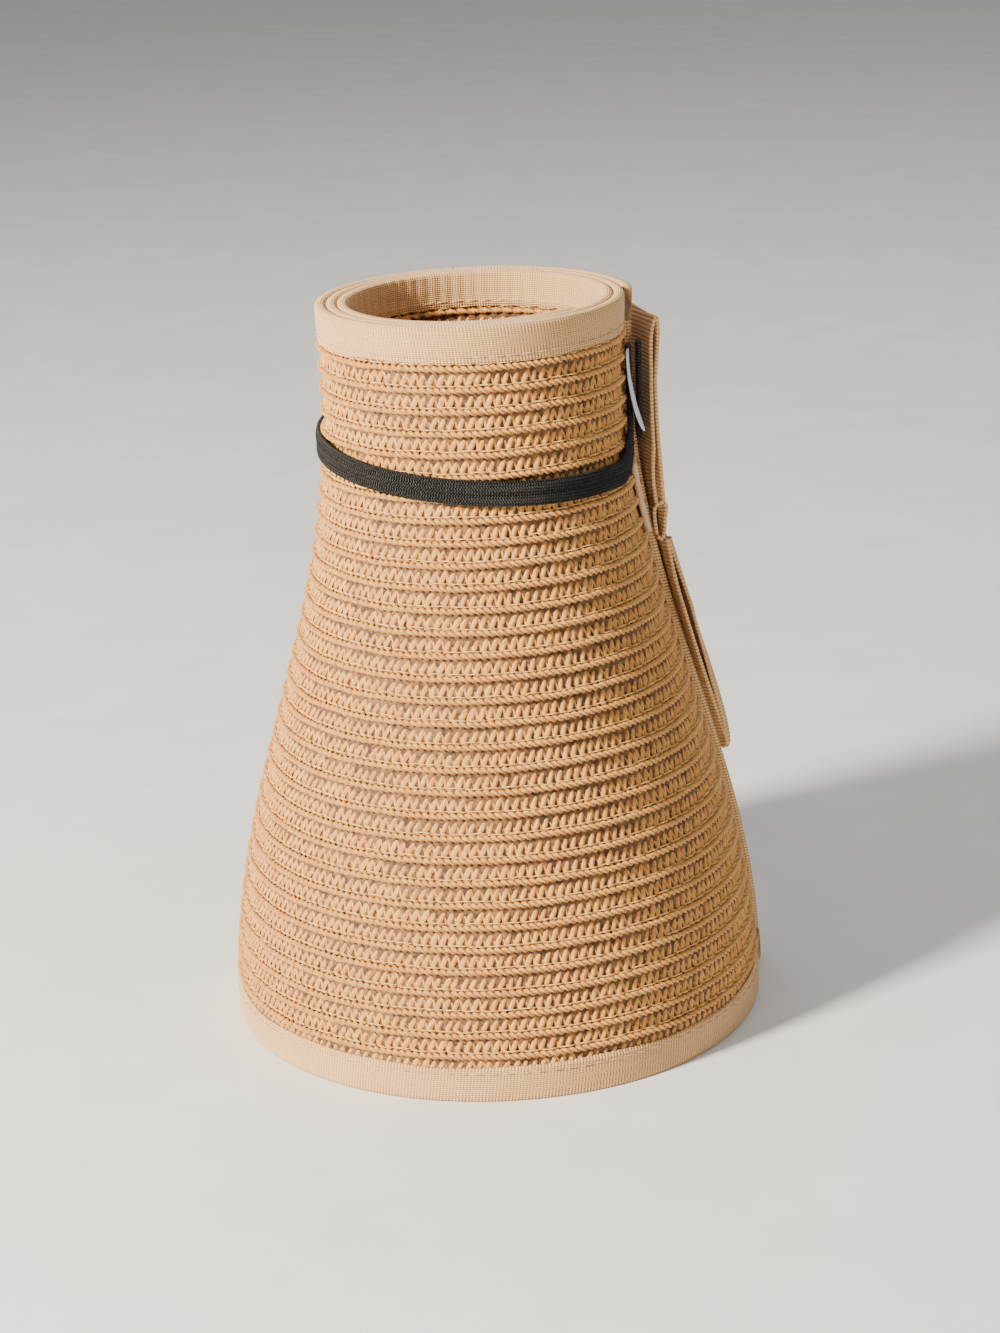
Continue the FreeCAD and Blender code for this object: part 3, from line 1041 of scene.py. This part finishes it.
@dataclass
class Bindings:
    """Grosgrain folded over the sheet's edges and sewn down."""

    shop: Workshop
    rib_pitch: float = 0.66
    rib_depth: float = 0.17
    outside: float = 0.34
    inside: float = 1.60
    sample: float = 0.16
    seam_pitch: float = 3.1

    def profile(self, head: bool) -> Array:
        """The folded tape's cross-section as (z, out) points, all the way round."""
        width, size = self.shop.roll.tape_width, self.shop.roll.sheet
        drop = [(width, 0.02), (width - 0.12, self.outside * 0.75), (width - 0.5, self.outside)]
        drop += [(width - 1.3, self.outside - 0.10), (width - 2.2, self.outside)]
        drop += [(width * 0.45, self.outside + 0.06)]
        drop += [(1.6, self.outside + 0.04), (0.7, self.outside), (0.22, self.outside - 0.22)]
        drop += [(0.0, -size / 2), (0.22, 0.22 - self.inside), (0.7, -self.inside), (width * 0.5, -self.inside)]
        drop += [(width - 1.2, 0.10 - self.inside), (width - 0.12, -self.inside * 0.92), (width, -size - 0.02)]
        points = np.array(drop)
        if head:
            points[:, 0] = self.shop.roll.height - points[:, 0]
        return points

    def tape(self, name: str, turns: tuple, head: bool) -> bpy.types.Object:
        """A length of folded binding along the head or the brim edge."""
        roll = self.shop.roll
        section = self.profile(head)
        radius = float(roll.radius(roll.height if head else 0.0))
        length = math.radians(turns[1] - turns[0]) * radius
        stations = np.linspace(*turns, int(length / self.sample))
        along = np.linspace(0, length, len(stations))
        edge = np.exp(-((np.arange(len(section)) / 1.2) ** 2))
        picot = 0.10 * np.sin(along * math.tau / (2 * self.rib_pitch))[:, None] * edge[None]
        sway = 0.16 * np.sin(along / 9.0)[:, None] + 0.10 * np.sin(along / 3.7 + 1.0)[:, None]
        z = section[None, :, 0] + picot + sway * edge[None]
        pucker = 0.05 * np.sin(along * math.tau / 3.1)[:, None] * (section[None, :, 1] < -1.3)
        rings = roll.place(stations[:, None], z, section[None, :, 1] - pucker)
        across = run_length(section)
        piece = ring_strip(name, rings, along, across)
        return self.ribbed(piece, 0.12)

    def ribbed(self, piece: bpy.types.Object, slant: float) -> bpy.types.Object:
        """Raises the ribs."""
        values = {"Rib Pitch": self.rib_pitch, "Rib Depth": self.rib_depth * MM, "Rib Slant": slant,
                  "Ruck": 0.12 * MM, "Ribbon": self.shop.ribbon}
        return self.shop.tape_tree.apply(piece, values)

    def end_tape(self, name: str, turns: tuple, edge: float) -> bpy.types.Object:
        """A binding folded over one of the sheet's two ends, from edge to edge.

        Args:
            name: The piece's name.
            turns: Turning angles at its free edge and at the fold.
            edge: Height that it stays clear of both edge tapes by.

        Returns:
            The ribbed piece.
        """
        roll = self.shop.roll
        z = np.arange(edge, roll.height - edge, self.sample)
        share = np.array([0.0, 0.04, 0.5, 0.93, 1.0, 0.93, 0.5, 0.04, 0.0])
        outs = np.array([0.02, self.outside, self.outside, self.outside - 0.06, -roll.sheet / 2,
                         -self.inside, -self.inside, -self.inside, -roll.sheet - 0.02])
        turning = turns[0] + (turns[1] - turns[0]) * share
        rings = roll.place(turning[None], z[:, None], outs[None])
        across = share * 7.0
        return self.ribbed(ring_strip(name, rings, z - z[0], across), 0.0)

    def seam(self, name: str, turns: tuple, heights: tuple, out: float, inside: bool) -> bpy.types.Object:
        """A line of stitches at each height."""
        runs = [{"turns": turns, "z": z, "out": out, "inside": inside} for z in heights]
        host = self.shop.guides(name, runs)
        values = {"Stitch Length": self.seam_pitch * MM, "Seed": 5.0,
                  "Stitch": self.shop.stitch, "Thread": self.shop.tape_thread}
        return self.shop.seam_tree.apply(host, values)

    def build(self) -> None:
        """Builds every binding with its stitch lines."""
        roll = self.shop.roll
        flap, end = roll.flap_turn, roll.inner_end
        finish_piece(self.tape("head_tape", (flap, end), True), Body.ROLL, Slot.TAPE, "head_edge_binding")
        for k, turns in enumerate(((flap, 360.0), (360.0, 720.0), (720.0, end))):
            nodes = ["brim_edge_binding"] if k == 0 else []
            finish_piece(self.tape(f"brim_tape_{k + 1}", turns, False), Body.ROLL, Slot.TAPE, *nodes)
        inner = self.end_tape("inner_end_tape", (end - 8, end), 0.5)
        finish_piece(inner, Body.ROLL, Slot.TAPE, "inner_end_binding")
        flap_ride(self.shop, self.tape("flap_head_tape", (0.4, flap), True), Slot.TAPE, "flap_head_binding")
        flap_ride(self.shop, self.tape("flap_brim_tape", (0.4, flap), False), Slot.TAPE, "flap_brim_binding")
        flap_ride(self.shop, self.end_tape("flap_end_tape", (8.0, 0.4), 7.4), Slot.TAPE, "flap_end_binding")
        low, high = roll.tape_width - 2.7, roll.height - roll.tape_width - 0.35
        outer = self.seam("binding_seams", (flap, 368.0), (low, high), self.outside - 0.02, False)
        finish_piece(outer, Body.ROLL, Slot.TAPE)
        inside = self.seam("inner_binding_seams", (end, roll.bore_start), (low, high), -self.inside + 0.02, True)
        finish_piece(inside, Body.ROLL, Slot.TAPE)
        flap_ride(self.shop, self.seam("flap_seams", (0.6, flap), (low, high), self.outside - 0.02, False), Slot.TAPE)


# ---- elastic


@dataclass
class Elastic:
    """Two strands of black braided elastic round the roll, sewn to the head edge under the bow."""

    shop: Workshop
    strand_width: float = 2.7
    thickness: float = 1.0
    proud: float = 0.55
    middle: float = 120.1
    drop_left: float = 2.75
    rise_back: float = 2.0
    rib_pitch: float = 0.62
    mm_per_degree: float = 0.56

    def height(self, azimuth: Array) -> Array:
        """Height of the tilted ring."""
        angle = np.radians(azimuth)
        return self.middle - self.drop_left * np.cos(angle) + self.rise_back * np.sin(angle)

    def strand(self, shift: float, lift: float, sweep: float) -> tuple[Array, Array, Array]:
        """One strand's rings.

        Args:
            shift: Height above the ring's middle.
            lift: Extra distance outwards.
            sweep: Azimuth in degrees where its ends turn up.

        Returns:
            Rings, distance along and distance across.
        """
        keys = [(sweep, 139.5), (sweep, 133.0), (sweep + 2, 126.5), (sweep + 9, 120.8 + shift)]
        keys += [(a, float(self.height(a)) + shift) for a in range(24, 337, 12)]
        keys += [(351 - sweep, 120.8 + shift), (358 - sweep, 126.5)]
        keys += [(360 - sweep, 133.0), (360 - sweep, 139.5)]
        path = spline([(a * self.mm_per_degree, z) for a, z in keys], 560)
        azimuth, z = path[:, 0] / self.mm_per_degree, path[:, 1]
        turn = np.clip(azimuth - self.shop.roll.end_azimuth, -7.0, 352.0)
        slope = np.gradient(path, axis=0)
        slope /= np.linalg.norm(slope, axis=1)[:, None]
        lanes = np.linspace(-1, 1, 25)
        ring = np.concatenate([np.arccos(lanes), -np.arccos(lanes[::-1])[1:-1]])
        across = np.cos(ring) * self.strand_width / 2
        ribs = 0.15 * np.cos(across * math.tau / self.rib_pitch)
        swell = np.sin(ring)
        out = (np.sign(swell) * np.abs(swell) ** 0.6) * self.thickness / 2 + ribs * (swell > 0)
        degrees = -slope[:, 1:2] * across[None] / self.mm_per_degree
        rise = slope[:, 0:1] * across[None]
        flush = np.maximum(turn[:, None] + degrees, 0.0)
        outs = self.proud + lift + self.thickness / 2 + out[None]
        rings = self.shop.roll.place(flush, z[:, None] + rise, outs)
        outside_end = np.minimum(turn[:, None] + degrees, 0.0)
        angle = np.radians(outside_end)
        centre = self.shop.roll.centre
        flat = rings[..., :2] - centre
        turned = np.stack([flat[..., 0] * np.cos(angle) - flat[..., 1] * np.sin(angle),
                           flat[..., 0] * np.sin(angle) + flat[..., 1] * np.cos(angle)], -1)
        rings = np.concatenate([turned + centre, rings[..., 2:]], -1)
        return rings, run_length(rings.mean(1)), across

    def build(self) -> None:
        """Builds both strands, which stretch between the roll and the lifted loop."""
        strands = (("elastic_lower", -1.15, 0.0, 2.0), ("elastic_upper", 1.15, 0.18, 4.0))
        for name, shift, lift, sweep in strands:
            piece = smooth(ring_strip(name, *self.strand(shift, lift, sweep)))
            piece.data.materials.append(self.shop.elastic)
            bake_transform(piece)
            if name == "elastic_lower":
                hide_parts("elastic_band", "elastic_sewn_ends")


# ---- bow


@dataclass
class Bow:
    """A grosgrain bow tacked to the free end: an upper loop, a knot and a lower loop."""

    shop: Workshop
    azimuth: float = 16.0
    width: float = 15.0
    thickness: float = 0.6
    rib_pitch: float = 0.8

    def ribbon(self, name: str, keys: list, widths: list, count: int) -> bpy.types.Object:
        """A ribbon along a path in the bow's upright plane.

        Args:
            name: The piece's name.
            keys: Control points as (distance from the axis, height).
            widths: (share of the path, width) stops.
            count: Stations along the path.

        Returns:
            The ribbed ribbon.
        """
        path = spline(keys, count)
        slope = np.gradient(path, axis=0)
        slope /= np.linalg.norm(slope, axis=1)[:, None]
        normal = np.stack([slope[:, 1], -slope[:, 0]], 1)
        share = np.linspace(0, 1, count)
        wide = np.interp(share, *zip(*widths))
        gather = 1 - (wide - wide.min()) / max(np.ptp(wide), 1e-6)
        lanes = np.linspace(-1, 1, 19)
        cup = 0.5 * gather[:, None] * np.cos(lanes * math.pi * 3.0)[None]
        edge_sag = 0.25 * np.cos(lanes * math.pi / 2)[None] * np.sin(share * math.pi)[:, None]
        half = self.thickness / 2
        bulge = cup + edge_sag
        faces_out, faces_in = half + bulge, (bulge - half)[:, ::-1]
        offset = np.concatenate([faces_out, faces_in], 1)
        lane = np.concatenate([lanes, lanes[::-1]])[None] * wide[:, None] / 2
        angle = math.radians(self.azimuth)
        radial = np.array([math.cos(angle), math.sin(angle)])
        tangent = np.array([-math.sin(angle), math.cos(angle)])
        rho = path[:, 0:1] + normal[:, 0:1] * offset
        z = path[:, 1:2] + normal[:, 1:2] * offset
        outer_leaf = np.clip((share - 0.5) * 6, 0, 1)[:, None] * np.sin(share * math.pi)[:, None]
        rho = rho + outer_leaf * (0.13 * lane - 0.010 * lane**2)
        centre = self.shop.roll.centre
        flat = centre + rho[..., None] * radial + lane[..., None] * tangent
        rings = np.concatenate([flat, z[..., None]], -1)
        across = lane * self.width / wide[:, None]
        piece = ring_strip(name, rings, run_length(path), across)
        values = {"Rib Pitch": self.rib_pitch, "Rib Depth": 0.13 * MM, "Rib Slant": 0.05,
                  "Ruck": 0.15 * MM, "Ribbon": self.shop.bow_ribbon}
        return self.shop.tape_tree.apply(piece, values)

    def face(self, z: float) -> float:
        """Distance from the axis to the front of the flap."""
        return float(self.shop.roll.radius(z)) + self.shop.roll.outer_lead + 0.35

    def build(self) -> None:
        """Builds the loops and the knot."""
        upper = [(36.7, 104.4), (35.4, 111.5), (34.9, 122.0), (34.9, 133.0), (35.1, 140.5), (36.2, 143.9)]
        upper += [(37.0, 140.0), (37.1, 131.0), (36.9, 120.0), (37.1, 111.0), (37.4, 104.4)]
        low = [(self.face(96.5) + 1.6, 96.6), (self.face(86) + 0.9, 86.0), (self.face(72) + 0.9, 72.0)]
        low += [(self.face(58) + 1.1, 58.0), (self.face(49.5) + 1.6, 49.2), (self.face(54) + 2.8, 54.0)]
        low += [(self.face(66) + 3.6, 66.0), (self.face(80) + 3.4, 80.0), (self.face(96.5) + 2.8, 96.4)]
        pinch = [(0, 9.5), (0.16, self.width), (0.84, self.width), (1, 9.5)]
        taper = [(0, 9.5), (0.15, self.width), (0.46, 9.0), (0.54, 9.0), (0.85, self.width), (1, 9.5)]
        finish_piece(self.ribbon("bow_loop_up", upper, pinch, 520), Body.UPPER_LOOP, Slot.BOW, "bow_upper_loop")
        finish_piece(self.ribbon("bow_loop_down", low, taper, 520), Body.LOWER_LOOP, Slot.BOW, "bow_lower_loop")
        f = self.face(100.5)
        knot = [(f + 0.5, 98.0), (f + 0.5, 103.2), (f + 2.1, 104.0)]
        knot += [(f + 2.9, 100.6), (f + 2.1, 97.2), (f + 0.7, 97.4)]
        wrap = self.ribbon("bow_wrap", knot, [(0, 10.5), (0.5, 10.0), (1, 10.5)], 130)
        finish_piece(wrap, Body.BOW, Slot.BOW, "bow_knot")


# ---- trim


@dataclass
class Trim:
    """The closure tab and the care label."""

    shop: Workshop

    def patch(
        self, name: str, turns: tuple, heights: tuple, out: float, thick: float, curl: float
    ) -> bpy.types.Object:
        """A small piece of cloth lying on the roll.

        Args:
            name: The piece's name.
            turns: Azimuths of its two sides, in degrees from +X.
            heights: Lower and upper edge.
            out: Gap to the sheet.
            thick: Its thickness.
            curl: How far its lower end stands off.

        Returns:
            The piece, smooth and without a material.
        """
        roll = self.shop.roll
        share = np.linspace(0, 1, 26)
        z = heights[0] + (heights[1] - heights[0]) * share
        half = (turns[1] - turns[0]) / 2 * np.minimum(1, np.sqrt(np.clip(share * 5, 0.02, 1)))
        lane_count = 9
        lanes = np.concatenate([np.linspace(-1, 1, lane_count), np.linspace(1, -1, lane_count)])
        depth = np.concatenate([np.full(lane_count, thick), np.zeros(lane_count)])
        azimuth = (turns[0] + turns[1]) / 2 + half[:, None] * lanes[None]
        lean = curl * (1 - share) ** 2
        rho = roll.radius(z)[:, None] + roll.outer_lead + out + depth[None] + lean[:, None]
        angle = np.radians(azimuth)
        x, y = roll.axis_x + rho * np.cos(angle), roll.axis_y + rho * np.sin(angle)
        rings = np.stack([x, y, np.broadcast_to(z[:, None], x.shape)], -1)
        return smooth(ring_strip(name, rings, z - z[0], lanes * half.max() * 0.6))

    def build(self) -> None:
        """Builds the tab and the label."""
        tab = self.patch("loop_tab", (-7.8, 7.7), (100.3, 115.8), -1.85, 1.0, 0.5)
        tab.data.materials.append(self.shop.tab_cloth)
        flap_ride(self.shop, tab, Slot.TAB, "closure_tab")
        label = self.patch("satin_label", (-10.7, -2.3), (122.2, 139.2), -1.2, 0.4, 2.6)
        label.data.materials.append(self.shop.label_satin)
        finish_piece(label, Body.LABEL, Slot.LABEL, "care_label")


# ---- studio


@dataclass(frozen=True)
class Studio:
    """Pale floor, soft light and the camera."""

    lens: float = 80.1
    distance: float = 0.586
    eye_height: float = 0.264
    pitch: float = 18.1
    tilt: float = -2.5
    shift: float = 0.009
    floor_reach: float = 40000.0
    sky: tuple = (0.9, 0.95, 1.0, 1)
    sky_strength: float = 0.32
    aim_height: float = 0.07

    def light(self, name: str, place: tuple, size: float, power: float, colour: tuple) -> None:
        """An area light that looks at the object's middle."""
        lamp = bpy.data.lights.new(name, "AREA")
        lamp.size, lamp.energy, lamp.color = size, power, colour
        holder = bpy.data.objects.new(name, lamp)
        holder.location = place
        gaze = Vector((0, 0, self.aim_height)) - Vector(place)
        holder.rotation_euler = gaze.to_track_quat("-Z", "Y").to_euler()
        bpy.context.scene.collection.objects.link(holder)

    def build(self) -> None:
        """Sets the scene round the object."""
        corners = [(-1, -1, 0), (1, -1, 0), (1, 1, 0), (-1, 1, 0)]
        floor = new_object("floor", np.array(corners) * self.floor_reach, [[0, 1, 2, 3]])
        g = ShaderGraph("studio_floor")
        tone = g.ramp(g.grain(40.0), [(0.3, (0.74, 0.73, 0.71)), (0.7, (0.80, 0.79, 0.77))])
        floor.data.materials.append(g.surface(Base_Color=tone, Roughness=0.85))
        self.light("key", (-0.85, -0.62, 0.62), 0.16, 50.0, (1.0, 0.92, 0.78))
        self.light("fill", (0.9, -0.6, 0.5), 1.2, 3.2, (0.90, 0.95, 1.0))
        self.light("top", (0.0, 0.4, 1.1), 1.0, 5.0, (1.0, 0.98, 0.95))
        world = bpy.data.worlds.new("studio_world")
        world.use_nodes = True
        world.node_tree.nodes["Background"].inputs[0].default_value = self.sky
        world.node_tree.nodes["Background"].inputs[1].default_value = self.sky_strength
        bpy.context.scene.world = world
        camera = bpy.data.cameras.new("camera")
        camera.lens, camera.sensor_width, camera.shift_x = self.lens, 36.0, self.shift
        eye = bpy.data.objects.new("camera", camera)
        eye.location = (-0.00024, -self.distance - 0.00055, self.eye_height)
        pitched = Euler((math.radians(90 - self.pitch), 0, 0)).to_matrix()
        rolled = Euler((0, 0, math.radians(self.tilt))).to_matrix()
        eye.rotation_euler = (pitched @ rolled).to_euler()
        bpy.context.scene.collection.objects.link(eye)
        bpy.context.scene.camera = eye


# ---- build


def main() -> None:
    """Builds the parts in order."""
    logging.basicConfig(level=logging.INFO, format="%(message)s")
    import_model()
    shop = Workshop()
    for part in (StrawSheet(shop), Bindings(shop), Elastic(shop), Bow(shop), Trim(shop)):
        part.build()
    shop.clear_spares()
    Studio().build()


if __name__ == "__main__":
    main()
